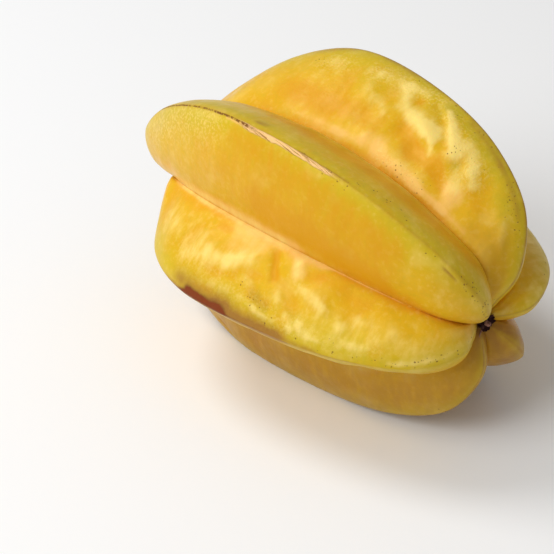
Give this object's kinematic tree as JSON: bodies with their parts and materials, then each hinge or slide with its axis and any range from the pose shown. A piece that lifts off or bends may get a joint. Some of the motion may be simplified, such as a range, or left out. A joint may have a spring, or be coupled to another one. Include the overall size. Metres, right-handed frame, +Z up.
{
  "type": "star fruit",
  "caption": "Ripe ribbed tropical fruit, star-shaped in section, lying on two of its ribs, with a dried stalk stump in a pit at the stem end.",
  "frame": {"origin": "On the surface that the fruit lies on, under the middle of its bounding box.", "axes": "+X along the fruit's axis towards the stem end, +Z up, +Y to the back rib."},
  "size_m": [0.1106, 0.0788, 0.0703],
  "materials": {
    "skin": "waxy golden yellow fruit skin, deeper orange in the grooves and greener along the rib crests",
    "dried_stalk": "matt dark brown, dry and cracked"
  },
  "bodies": {
    "root": {"fruit": "skin", "dried_stalk": "dried_stalk"}
  },
  "joints": []
}
